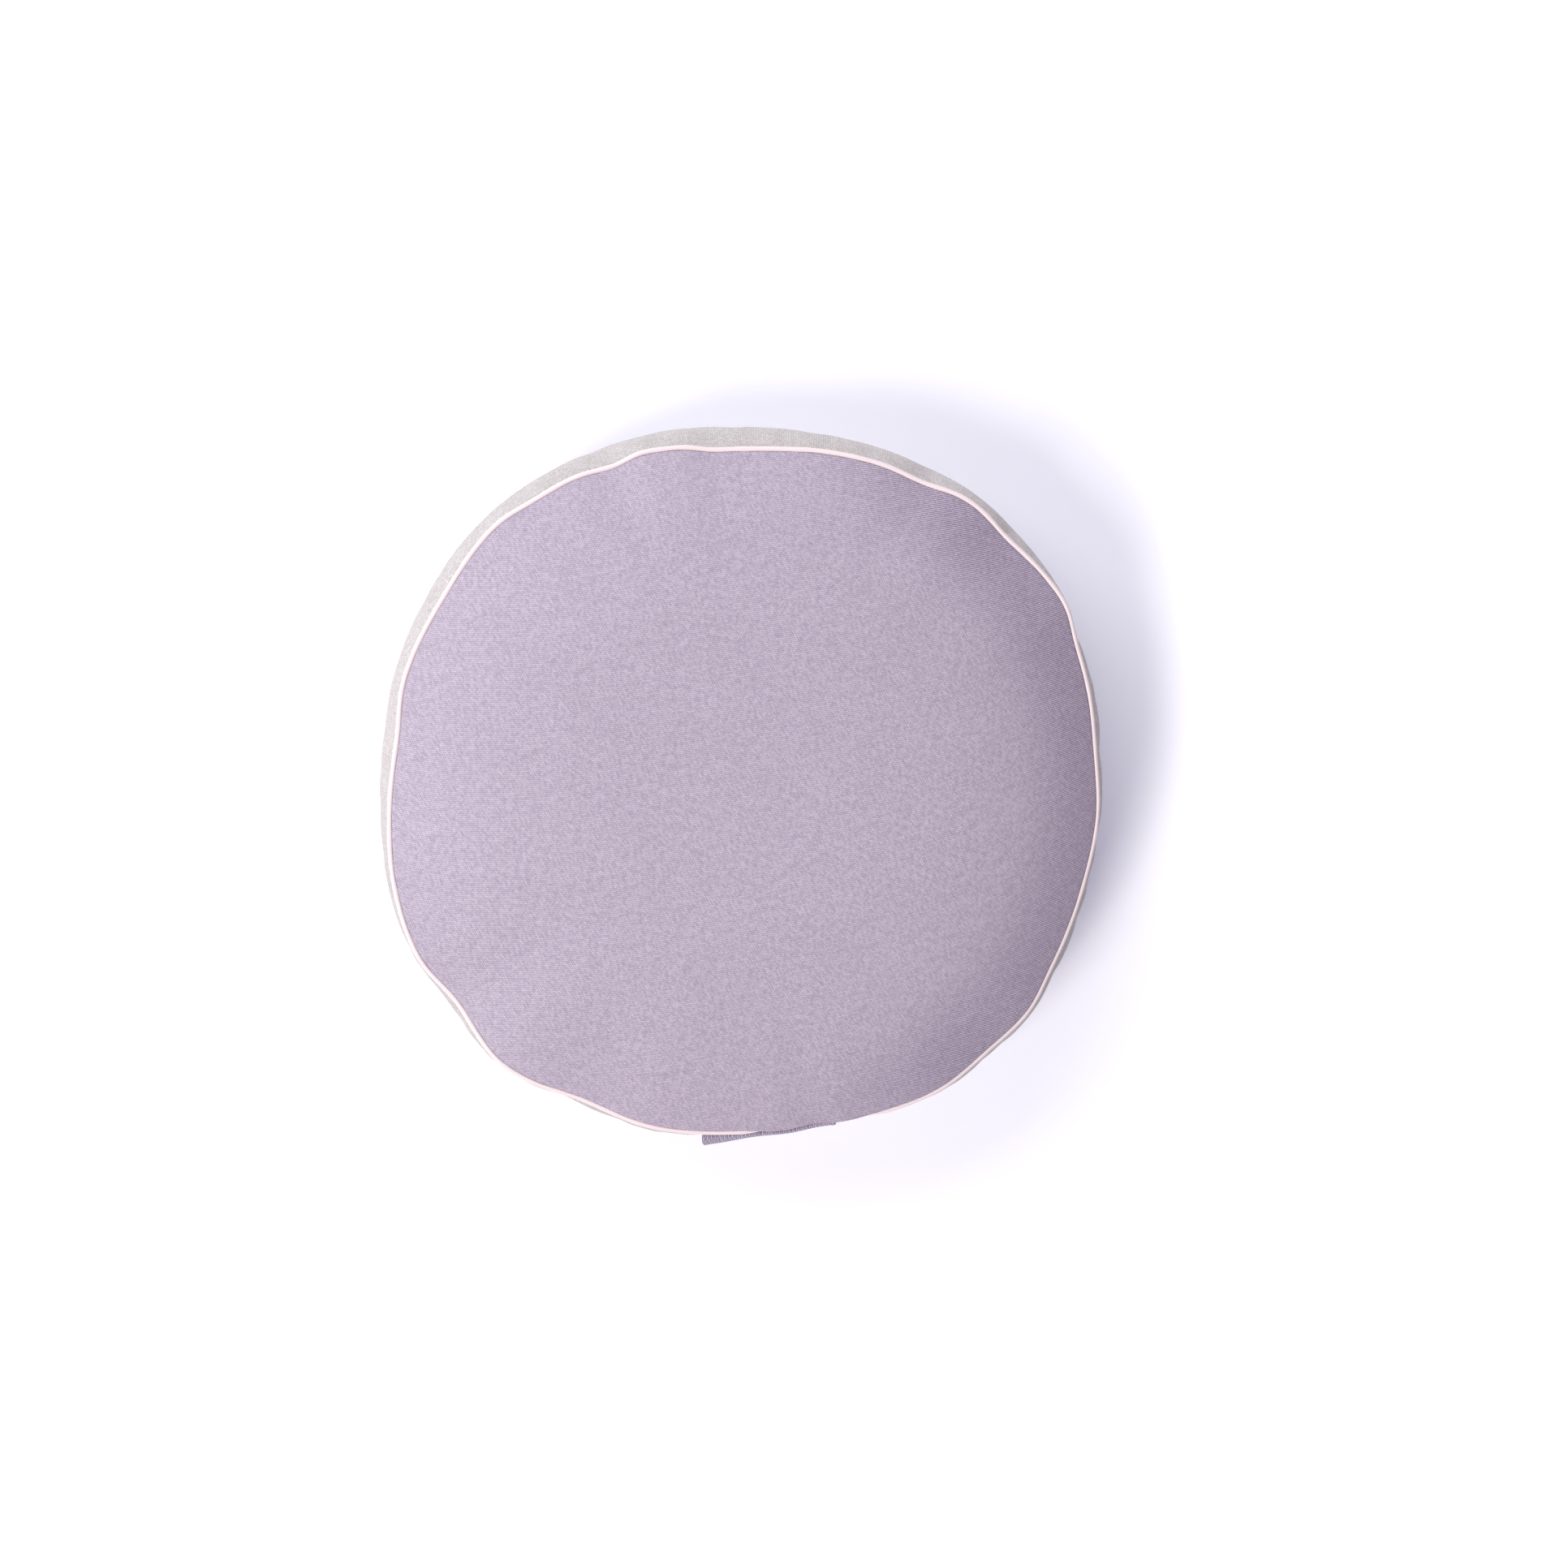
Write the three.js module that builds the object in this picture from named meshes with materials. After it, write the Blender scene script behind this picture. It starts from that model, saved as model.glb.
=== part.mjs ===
import * as THREE from 'three';

// Round boxed cushion lying on its base: a crowned top panel, a bulging side band, a base panel,
// a corded piping in the top seam, and a short grab strap sewn on the band at the front (-Y).
// Millimetres, +Z up. Angles are in degrees, counter-clockwise from +X seen from above.

// Sizes of the whole cushion
const SEAM_RADIUS = 215;
const TOP_SEAM_HEIGHT = 91;
const CROWN_RISE = 28;
const CLOTH_THICKNESS = 2;
const SEWN_GAP = 0.3;
const STATIONS_ROUND = 120;

// The crown is a dome, nearly flat in the middle, that falls faster and faster towards the seam
const CROWN_POWER = 3.8;

// The seam stands a little higher where it reaches further out, and the crown levels that out inwards
const SEAM_LIFT_PER_REACH = 0.25;
const SEAM_WAVE_FADE = 12;

// How far each corner (plus) and dent (minus) of the top seam lies from the seam radius
const TOP_SEAM_FOLDS = [
  { angle: 6, out: -2 },
  { angle: 16, out: 0.8 },
  { angle: 24, out: 3.4 },
  { angle: 30, out: 7.8 },
  { angle: 36, out: 6.8 },
  { angle: 44, out: 3.8 },
  { angle: 50, out: 5.2 },
  { angle: 54, out: 4.1 },
  { angle: 60, out: -1.2 },
  { angle: 67, out: -2.5 },
  { angle: 77, out: -6 },
  { angle: 86, out: -9.3 },
  { angle: 95, out: -9.6 },
  { angle: 100, out: -6 },
  { angle: 107, out: -3.3 },
  { angle: 112, out: -5 },
  { angle: 118, out: -1.6 },
  { angle: 126, out: 0.1 },
  { angle: 133, out: 2.9 },
  { angle: 147, out: -0.4 },
  { angle: 162, out: -0.4 },
  { angle: 171, out: -4.1 },
  { angle: 183, out: -1.4 },
  { angle: 195, out: 3.2 },
  { angle: 207, out: 5.4 },
  { angle: 216, out: 0.5 },
  { angle: 227, out: 5.9 },
  { angle: 233, out: 3.7 },
  { angle: 242, out: -3.2 },
  { angle: 254, out: -2.8 },
  { angle: 269, out: -6.5 },
  { angle: 276, out: -5.8 },
  { angle: 281.5, out: -7.1 },
  { angle: 286, out: -4.1 },
  { angle: 292, out: -2 },
  { angle: 303, out: 2.4 },
  { angle: 313, out: 1.7 },
  { angle: 322, out: 3.5 },
  { angle: 330, out: 0 },
  { angle: 344, out: -1.9 },
  { angle: 356, out: -1 },
];

// Side band: its girth is a soft square and a little oval
const BAND_RADIUS = 224.5;
const BAND_OVAL = 1.5;
const BAND_SQUARENESS = 3.5;
const BAND_ROUNDING = 2.2;
const BAND_ROWS = 8;

// Soft bulges (plus) and hollows (minus) of the girth, each fading over its spread in degrees.
// The deepest lies where the strap's stitches draw the band in.
const BAND_FOLDS = [
  { angle: 45, out: 1, spread: 14 },
  { angle: 102, out: 1.4, spread: 12 },
  { angle: 148, out: -1.2, spread: 18 },
  { angle: 197, out: 1.8, spread: 9 },
  { angle: 215, out: -2.2, spread: 7 },
  { angle: 243, out: -3.8, spread: 9 },
  { angle: 280, out: -8.4, spread: 15 },
  { angle: 345, out: -2.3, spread: 24 },
];

// Base: flat where it rests, curling up to the lower seam
const BASE_SEAM_RADIUS = 212;
const BASE_SEAM_HEIGHT = 8;
const BASE_FLAT_RADIUS = 178;
const BASE_SQUARENESS_SHARE = 0.6;

// Piping: a cord wrapped in cloth, round in section
const PIPING_RADIUS = 1.65;
const PIPING_SIDES = 8;

// Grab strap: doubled cloth, sewn on the band at the front, its left end at a given x
const STRAP_THICKNESS = 2.4;
const STRAP_WIDTH = 36;
const STRAP_TOP_HEIGHT = 86;
const STRAP_START_X = -24;
const STRAP_STEPS_ACROSS = 6;

// Along the strap from its left end: how far its top and bottom edges stand off the band, and how
// much its corners are cut back. The left end kicks out at its lower corner; the right end lies flat.
const STRAP_SECTIONS = [
  { along: 0, topGap: 0.6, bottomGap: 6.4, cutBack: 1.6 },
  { along: 1.5, topGap: 0.5, bottomGap: 6.5, cutBack: 0.3 },
  { along: 5, topGap: 0.4, bottomGap: 6.2, cutBack: 0 },
  { along: 12, topGap: 0.4, bottomGap: 5.4, cutBack: 0 },
  { along: 20, topGap: 0.5, bottomGap: 4.2, cutBack: 0 },
  { along: 28, topGap: 0.6, bottomGap: 2.7, cutBack: 0 },
  { along: 36, topGap: 0.9, bottomGap: 1.7, cutBack: 0 },
  { along: 44, topGap: 1.6, bottomGap: 1.7, cutBack: 0 },
  { along: 52, topGap: 2.2, bottomGap: 2, cutBack: 0 },
  { along: 60, topGap: 1.8, bottomGap: 1.7, cutBack: 0 },
  { along: 68, topGap: 1.1, bottomGap: 1.1, cutBack: 0 },
  { along: 76, topGap: 0.7, bottomGap: 0.7, cutBack: 0 },
  { along: 79, topGap: 0.6, bottomGap: 0.6, cutBack: 0.5 },
  { along: 81, topGap: 0.5, bottomGap: 0.5, cutBack: 2 },
];

// Shares of the way from the centre to the seam at which the crown is sampled
const CROWN_RINGS = [0.2, 0.4, 0.58, 0.72, 0.83, 0.91, 0.965, 1];
const BASE_RINGS = [0.45, 0.84, 0.88, 0.94, 1];

const FULL_TURN = 360;
const FRONT_ANGLE = 270;

const { degToRad, radToDeg, lerp, euclideanModulo } = THREE.MathUtils;

const mauveCloth = () => new THREE.MeshStandardMaterial({ color: 0xbeb0c4, roughness: 0.9, metalness: 0 });
const linenCloth = () => new THREE.MeshStandardMaterial({ color: 0xc8bfbb, roughness: 0.95, metalness: 0 });
const pinkPiping = () => new THREE.MeshStandardMaterial({ color: 0xf6dde0, roughness: 0.85, metalness: 0 });

// A smooth closed curve through the folds of the seam: cubic pieces with the slope of the neighbours
function seamReach(angle) {
  const count = TOP_SEAM_FOLDS.length;
  const turned = euclideanModulo(angle - TOP_SEAM_FOLDS[0].angle, FULL_TURN);
  const at = turned + TOP_SEAM_FOLDS[0].angle;
  const fold = (index) => {
    const row = TOP_SEAM_FOLDS[euclideanModulo(index, count)];
    return { angle: row.angle + FULL_TURN * Math.floor(index / count), out: row.out };
  };
  let index = 0;
  while (fold(index + 1).angle <= at) {
    index += 1;
  }
  const [before, start, end, after] = [fold(index - 1), fold(index), fold(index + 1), fold(index + 2)];
  const width = end.angle - start.angle;
  const startSlope = (end.out - before.out) / (end.angle - before.angle);
  const endSlope = (after.out - start.out) / (after.angle - start.angle);
  const share = (at - start.angle) / width;
  const square = share * share;
  const cube = square * share;
  const out = start.out * (2 * cube - 3 * square + 1)
    + startSlope * width * (cube - 2 * square + share)
    + end.out * (3 * square - 2 * cube)
    + endSlope * width * (cube - square);
  return SEAM_RADIUS + out;
}

function seamHeight(angle) {
  return TOP_SEAM_HEIGHT + SEAM_LIFT_PER_REACH * (seamReach(angle) - SEAM_RADIUS);
}

// Reach of the band at its fullest height
function girthReach(angle) {
  const turn = degToRad(angle);
  const folds = BAND_FOLDS.map((fold) => {
    const aside = euclideanModulo(angle - fold.angle + FULL_TURN / 2, FULL_TURN) - FULL_TURN / 2;
    return fold.out * Math.exp(-((aside / fold.spread) ** 2));
  });
  const rounded = BAND_RADIUS + BAND_OVAL * Math.cos(2 * turn) - BAND_SQUARENESS * Math.cos(4 * turn);
  return folds.reduce((reach, fold) => reach + fold, rounded);
}

function baseSeamReach(angle) {
  return BASE_SEAM_RADIUS - BASE_SQUARENESS_SHARE * BAND_SQUARENESS * Math.cos(4 * degToRad(angle));
}

// The band runs from just under the piping down to the lower seam
const bandTop = (angle) => seamHeight(angle) - PIPING_RADIUS - SEWN_GAP;
const bandBottom = BASE_SEAM_HEIGHT + CLOTH_THICKNESS / 2 + SEWN_GAP;

// Reach of the band's outside at a height: fullest at mid height, drawn in to each seam
function bandReach(angle, height) {
  const down = (bandTop(angle) - height) / (bandTop(angle) - bandBottom);
  const fromMiddle = 2 * down - 1;
  const seam = fromMiddle < 0 ? seamReach(angle) : baseSeamReach(angle);
  const drawnIn = Math.abs(fromMiddle) ** BAND_ROUNDING;
  return lerp(girthReach(angle), seam, drawnIn);
}

// Height of the top cloth's outside, by the share of the way from the centre to its edge
function crownHeight(angle, share) {
  const foot = lerp(TOP_SEAM_HEIGHT, seamHeight(angle), share ** SEAM_WAVE_FADE);
  const rise = CROWN_RISE * (1 - share ** CROWN_POWER);
  return foot + rise + CLOTH_THICKNESS / 2;
}

const panelEdge = (angle) => seamReach(angle) - PIPING_RADIUS - SEWN_GAP;

// Height of the base cloth's outside: level on the floor, then curling up to the lower seam
function baseHeight(angle, share) {
  const reach = share * baseSeamReach(angle);
  const curl = Math.max(0, (reach - BASE_FLAT_RADIUS) / (baseSeamReach(angle) - BASE_FLAT_RADIUS));
  return (BASE_SEAM_HEIGHT - CLOTH_THICKNESS / 2) * curl * curl;
}

// One ring of points round the cushion, from functions of the angle
function ring(reachAt, heightAt) {
  return Array.from({ length: STATIONS_ROUND }, (_, station) => {
    const angle = FULL_TURN * station / STATIONS_ROUND;
    const turn = degToRad(angle);
    const reach = reachAt(angle);
    return new THREE.Vector3(reach * Math.cos(turn), reach * Math.sin(turn), heightAt(angle));
  });
}

const crownRings = (drop) => CROWN_RINGS.map((share) => ring(
  (angle) => share * panelEdge(angle),
  (angle) => crownHeight(angle, share) - drop,
));

const baseRings = (lift) => BASE_RINGS.map((share) => ring(
  (angle) => share * baseSeamReach(angle),
  (angle) => baseHeight(angle, share) + lift,
));

const axisPoint = (height) => new THREE.Vector3(0, 0, height);

function meshFromTriangles(name, triangles, material) {
  const positions = triangles.flatMap((corners) => corners.flatMap((corner) => corner.toArray()));
  const geometry = new THREE.BufferGeometry();
  geometry.setAttribute('position', new THREE.Float32BufferAttribute(positions, 3));
  geometry.computeVertexNormals();
  const mesh = new THREE.Mesh(geometry, material);
  mesh.name = name;
  return mesh;
}

// Two triangles for each pair of neighbours on two rings, the first ring lying above or inside
function wallBetween(upper, lower) {
  return upper.flatMap((corner, station) => {
    const next = (station + 1) % upper.length;
    return [[corner, lower[station], lower[next]], [corner, lower[next], upper[next]]];
  });
}

// A closed skin from a top point, through rings, to a bottom point
function closedSkin(top, rings, bottom) {
  const first = rings[0];
  const last = rings[rings.length - 1];
  const cap = first.map((corner, station) => [top, corner, first[(station + 1) % first.length]]);
  const walls = rings.slice(1).flatMap((lower, index) => wallBetween(rings[index], lower));
  const floor = last.map((corner, station) => [corner, bottom, last[(station + 1) % last.length]]);
  return [...cap, ...walls, ...floor];
}

function topPanel() {
  const outside = crownRings(0);
  const inside = crownRings(CLOTH_THICKNESS).reverse();
  const outsideTop = axisPoint(crownHeight(0, 0));
  const insideTop = axisPoint(crownHeight(0, 0) - CLOTH_THICKNESS);
  const triangles = closedSkin(outsideTop, [...outside, ...inside], insideTop);
  return meshFromTriangles('top_panel', triangles, mauveCloth());
}

function basePanel() {
  const inside = baseRings(CLOTH_THICKNESS);
  const outside = baseRings(0).reverse();
  const triangles = closedSkin(axisPoint(CLOTH_THICKNESS), [...inside, ...outside], axisPoint(0));
  return meshFromTriangles('base_panel', triangles, linenCloth());
}

// The filled body: crown, a step down round the piping, the bulging band, and the resting side
function cushionBody() {
  const skinDrop = CLOTH_THICKNESS + SEWN_GAP;
  const crown = crownRings(skinDrop);
  const underPiping = ring((angle) => seamReach(angle) - PIPING_RADIUS, bandTop);
  const band = Array.from({ length: BAND_ROWS + 1 }, (_, row) => {
    const heightAt = (angle) => lerp(bandTop(angle), bandBottom, row / BAND_ROWS);
    return ring((angle) => bandReach(angle, heightAt(angle)), heightAt);
  });
  const rest = baseRings(skinDrop).reverse().slice(1);
  const rings = [...crown, underPiping, ...band, ...rest];
  const triangles = closedSkin(axisPoint(crownHeight(0, 0) - skinDrop), rings, axisPoint(skinDrop));
  return meshFromTriangles('cushion_body', triangles, linenCloth());
}

function topPiping() {
  const rings = Array.from({ length: PIPING_SIDES }, (_, side) => {
    const turn = -degToRad(FULL_TURN * side / PIPING_SIDES);
    return ring(
      (angle) => seamReach(angle) + PIPING_RADIUS * Math.cos(turn),
      (angle) => seamHeight(angle) + PIPING_RADIUS * Math.sin(turn),
    );
  });
  const triangles = rings.flatMap((upper, side) => wallBetween(upper, rings[(side + 1) % PIPING_SIDES]));
  return meshFromTriangles('top_piping', triangles, pinkPiping());
}

// One face of the strap, as rows of points from its bottom edge to its top edge
function strapFace(offset) {
  const girth = girthReach(FRONT_ANGLE);
  const startAngle = FRONT_ANGLE + radToDeg(Math.asin(STRAP_START_X / girth));
  return STRAP_SECTIONS.map((section) => {
    const angle = startAngle + radToDeg(section.along / girth);
    const turn = degToRad(angle);
    const bottom = STRAP_TOP_HEIGHT - STRAP_WIDTH + section.cutBack;
    const top = STRAP_TOP_HEIGHT - section.cutBack / 2;
    return Array.from({ length: STRAP_STEPS_ACROSS + 1 }, (_, step) => {
      const share = step / STRAP_STEPS_ACROSS;
      const height = lerp(bottom, top, share);
      const reach = bandReach(angle, height) + lerp(section.bottomGap, section.topGap, share) + offset;
      return new THREE.Vector3(reach * Math.cos(turn), reach * Math.sin(turn), height);
    });
  });
}

// A closed sheet between two grids of points: both faces, the long edges and the two ends
function closedSheet(outside, inside) {
  const lastRow = outside.length - 1;
  const top = outside[0].length - 1;
  const triangles = [];
  const quad = (a, b, c, d) => triangles.push([a, b, c], [a, c, d]);
  for (let row = 0; row < lastRow; row += 1) {
    const [outNow, outNext, inNow, inNext] = [outside[row], outside[row + 1], inside[row], inside[row + 1]];
    for (let step = 0; step < top; step += 1) {
      quad(outNow[step], outNext[step], outNext[step + 1], outNow[step + 1]);
      quad(inNow[step], inNow[step + 1], inNext[step + 1], inNext[step]);
    }
    quad(inNow[0], inNext[0], outNext[0], outNow[0]);
    quad(outNow[top], outNext[top], inNext[top], inNow[top]);
  }
  const [outStart, inStart, outEnd, inEnd] = [outside[0], inside[0], outside[lastRow], inside[lastRow]];
  for (let step = 0; step < top; step += 1) {
    quad(inStart[step], outStart[step], outStart[step + 1], inStart[step + 1]);
    quad(outEnd[step], inEnd[step], inEnd[step + 1], outEnd[step + 1]);
  }
  return triangles;
}

function grabStrap() {
  return meshFromTriangles('grab_strap', closedSheet(strapFace(STRAP_THICKNESS), strapFace(0)), mauveCloth());
}

const cushion = new THREE.Group();
cushion.add(cushionBody(), topPanel(), basePanel(), topPiping(), grabStrap());

// The origin is the middle of the underside of the cushion's box
const box = new THREE.Box3().setFromObject(cushion);
const middle = box.getCenter(new THREE.Vector3());
cushion.position.set(-middle.x, -middle.y, -box.min.z);

export default cushion;
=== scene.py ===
import math

import bpy
import numpy as np
from mathutils import Matrix, Vector


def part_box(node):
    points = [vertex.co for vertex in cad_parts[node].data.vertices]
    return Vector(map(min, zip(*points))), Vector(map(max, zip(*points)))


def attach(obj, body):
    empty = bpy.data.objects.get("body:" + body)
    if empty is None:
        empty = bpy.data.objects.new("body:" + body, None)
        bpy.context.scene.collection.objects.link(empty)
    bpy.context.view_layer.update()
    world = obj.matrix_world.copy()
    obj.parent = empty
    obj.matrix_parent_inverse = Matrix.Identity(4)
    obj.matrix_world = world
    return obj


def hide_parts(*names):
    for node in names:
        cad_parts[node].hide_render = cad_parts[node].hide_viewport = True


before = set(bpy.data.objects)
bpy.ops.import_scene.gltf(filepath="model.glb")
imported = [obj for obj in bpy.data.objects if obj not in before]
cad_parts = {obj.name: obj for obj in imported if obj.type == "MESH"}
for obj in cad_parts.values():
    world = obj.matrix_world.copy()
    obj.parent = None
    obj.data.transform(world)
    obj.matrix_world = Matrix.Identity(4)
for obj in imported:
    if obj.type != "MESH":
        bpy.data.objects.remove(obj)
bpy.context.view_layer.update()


# The filled cushion: polyester fibre in a round cover, with a side band of unbleached linen.
# The band is a straight strip, eased in at both seams, so that it bulges between them and
# puckers where the seam turns a corner. The fibre holds it out like air in a tyre.
MM = 0.001
FULL_TURN = 360
SPOKES = 120
SKIN_RINGS = 44
RIM_POINTS = 6 * SKIN_RINGS
BAND_ROWS = 17

base_low, base_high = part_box("base_panel")
AXIS = np.array([(base_low.x + base_high.x) / 2, (base_low.y + base_high.y) / 2, 0]) / MM


def spokes_of(node):
    """For each spoke of a solid: the lowest and highest reach and height of its points, in mm."""
    points = np.array([vertex.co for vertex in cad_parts[node].data.vertices]) / MM - AXIS
    turn = np.degrees(np.arctan2(points[:, 1], points[:, 0]))
    spoke = np.rint(turn * SPOKES / FULL_TURN).astype(int) % SPOKES
    reach = np.hypot(points[:, 0], points[:, 1])
    found = [(reach[spoke == n], points[spoke == n, 2]) for n in range(SPOKES)]
    return np.array([(r.min(), r.max(), z.min(), z.max()) for r, z in found]).T


def drawn_round(values, count):
    """A line known on every spoke, drawn smoothly through another number of points."""
    return np.fft.irfft(np.fft.rfft(values), count) * count / len(values)


cord_inside, cord_outside, cord_under, cord_over = spokes_of("top_piping")
SEAM_REACH = (cord_inside + cord_outside) / 2
SEAM_HEIGHT = (cord_under + cord_over) / 2
CORD_RADIUS = float(np.mean(cord_outside - cord_inside)) / 2
GIRTH_REACH = spokes_of("cushion_body")[1]
BASE_REACH = spokes_of("base_panel")[1]

# Above the strap the seam has rolled under, so the mauve cloth's edge hangs over the piping there
ROLL_MIDDLE = 281.5
ROLL_SPREAD = 10
ROLL_IN = 2.9
ROLL_DOWN = 1.8
ROLL_OVERHANG = 4.2
ROLL_LIFT = 1.5
ROLL_END_POWER = 6
SPOKE_ANGLES = np.arange(SPOKES) * FULL_TURN / SPOKES
rolled = np.exp(-(((SPOKE_ANGLES - ROLL_MIDDLE) / ROLL_SPREAD) ** ROLL_END_POWER))
SEAM_REACH -= ROLL_IN * rolled
SEAM_HEIGHT -= ROLL_DOWN * rolled

CLOTH = 1.4
GAP = 0.3
CROWN_POWER = 3.8
SEAM_WAVE_FADE = 12
CROWN_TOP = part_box("top_panel")[1].z / MM

# The mauve cloth's edge lies behind the cord and above its middle, and swells a little at the
# front right, where it hides more of the piping
EDGE_BEHIND_CORD = 1.95
EDGE_OVER_CORD = 1.8
SWELL_MIDDLE = 315
SWELL_OUT = 0.7
SWELL_UP = 0.49
swell = np.maximum(0, np.cos(np.radians(SPOKE_ANGLES - SWELL_MIDDLE))) * (1 - rolled)
EDGE_REACH = SEAM_REACH - EDGE_BEHIND_CORD + ROLL_OVERHANG * rolled + SWELL_OUT * swell
EDGE_HEIGHT = SEAM_HEIGHT + EDGE_OVER_CORD + ROLL_LIFT * rolled + SWELL_UP * swell

# The filling ends short of the cord, and the band runs from just under it to the lower seam
BODY_BEHIND_CORD = CORD_RADIUS + 0.9
BAND_TOP_UNDER_CORD = CORD_RADIUS + 0.35
BAND_ROUNDING = 2.2
BASE_SEAM_HEIGHT = 8
BAND_BOTTOM = BASE_SEAM_HEIGHT + 1
BASE_FLAT_RADIUS = 178


def ring(reach, height, count):
    """Points of one ring, in mm from the cushion's axis, at even angles."""
    turn = np.arange(count) * 2 * math.pi / count
    return np.stack([reach * np.cos(turn), reach * np.sin(turn), np.broadcast_to(height, count)], axis=1)


def disc(edge, height_at):
    """A centre point and rings of 6, 12, 18 ... points, so that all triangles are alike."""
    rings = [np.array([[0, 0, height_at(0, 0)]])]
    for index in range(1, SKIN_RINGS + 1):
        count = 6 * index
        share = index / SKIN_RINGS
        rings.append(ring(share * drawn_round(edge, count), height_at(share, count), count))
    return np.concatenate(rings)


def disc_faces(start=0):
    """Triangles that join the rings of a disc, facing up."""
    faces = []
    inner = start
    for index in range(1, SKIN_RINGS + 1):
        outer = inner + max(1, 6 * (index - 1))
        for side in range(6):
            for step in range(index):
                near = inner + (side * (index - 1) + step) % max(1, 6 * (index - 1))
                first = outer + side * index + step
                second = outer + (side * index + step + 1) % (6 * index)
                faces.append((near, first, second))
                if step < index - 1:
                    next_near = inner + (side * (index - 1) + step + 1) % (6 * (index - 1))
                    faces.append((near, second, next_near))
        inner = outer
    return faces


def crown_height(share, count):
    """Height of the mauve cloth's outside: nearly flat in the middle, steep at the seam."""
    foot = float(np.mean(EDGE_HEIGHT))
    rise = (CROWN_TOP - foot) * (1 - share ** CROWN_POWER)
    if count:
        foot = foot + (drawn_round(EDGE_HEIGHT, count) - foot) * share ** SEAM_WAVE_FADE
    return foot + rise


def base_height(share, count):
    """Height of the base cloth's outside: level on the floor, curling up to the lower seam."""
    reach = share * (drawn_round(BASE_REACH, count) if count else 0)
    curl = np.maximum(0, (reach - BASE_FLAT_RADIUS) / (BASE_REACH.mean() - BASE_FLAT_RADIUS))
    return BASE_SEAM_HEIGHT * curl ** 2


seam_reach = drawn_round(SEAM_REACH, RIM_POINTS)
seam_height = drawn_round(SEAM_HEIGHT, RIM_POINTS)
girth_reach = drawn_round(GIRTH_REACH, RIM_POINTS)
base_reach = drawn_round(BASE_REACH, RIM_POINTS)

top_skin = disc(EDGE_REACH, crown_height)
band_rows = []
for row in range(BAND_ROWS + 1):
    down = row / BAND_ROWS
    from_middle = 2 * down - 1
    seam = seam_reach if from_middle < 0 else base_reach
    row_reach = girth_reach + (seam - girth_reach) * abs(from_middle) ** BAND_ROUNDING
    row_top = seam_height - BAND_TOP_UNDER_CORD
    band_rows.append(ring(row_reach, row_top + (BAND_BOTTOM - row_top) * down, RIM_POINTS))
base_skin = disc(BASE_REACH - GAP, base_height)

DISC_POINTS = len(top_skin)
BAND_START = DISC_POINTS
BASE_START = BAND_START + (BAND_ROWS + 1) * RIM_POINTS
TOP_RIM = DISC_POINTS - RIM_POINTS
BASE_RIM = BASE_START + TOP_RIM
start_skin = np.concatenate([top_skin, *band_rows, base_skin])


def wall_faces(upper, lower, count=RIM_POINTS):
    """Quads between two rings of the same number of points, facing out when upper is above."""
    return [
        (upper + n, lower + n, lower + (n + 1) % count, upper + (n + 1) % count)
        for n in range(count)
    ]


band_rings = [BAND_START + row * RIM_POINTS for row in range(BAND_ROWS + 1)]
skin_faces = disc_faces()
for upper, lower in zip([TOP_RIM, *band_rings], [*band_rings, BASE_RIM]):
    skin_faces += wall_faces(upper, lower)
skin_faces += [face[::-1] for face in disc_faces(BASE_START)]


def mesh_piece(name, points, faces):
    """A smooth-shaded object from points in mm from the cushion's axis."""
    mesh = bpy.data.meshes.new(name)
    mesh.from_pydata(((points + AXIS) * MM).tolist(), [], [tuple(map(int, face)) for face in faces])
    mesh.polygons.foreach_set("use_smooth", [True] * len(mesh.polygons))
    made = bpy.data.objects.new(name, mesh)
    bpy.context.scene.collection.objects.link(made)
    return made


def points_of(made):
    """An object's points after its modifiers, in mm from the cushion's axis."""
    shown = made.evaluated_get(bpy.context.evaluated_depsgraph_get())
    return np.array([vertex.co for vertex in shown.data.vertices]) / MM - AXIS


FILL_PRESSURE = 4
FILL_FRAMES = 20
FILL_QUALITY = 5
BAND_EASE = 0.03
STRAP_CLEARANCE = 9
FIRMLY_HELD = 0.9
strap_low, strap_high = (np.array(corner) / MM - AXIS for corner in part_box("grab_strap"))


def held_by_strap(points):
    """How firmly the strap's stitches hold the band behind it, from 0 to 1."""
    aside = np.maximum(strap_low[0] - points[:, 0], points[:, 0] - strap_high[0])
    apart = np.maximum(strap_low[2] - points[:, 2], points[:, 2] - strap_high[2])
    away = np.maximum(0, np.maximum(aside, apart)) / STRAP_CLEARANCE
    return np.where(points[:, 1] < 0, np.clip(1 - away, 0, 1), 0)


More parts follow.
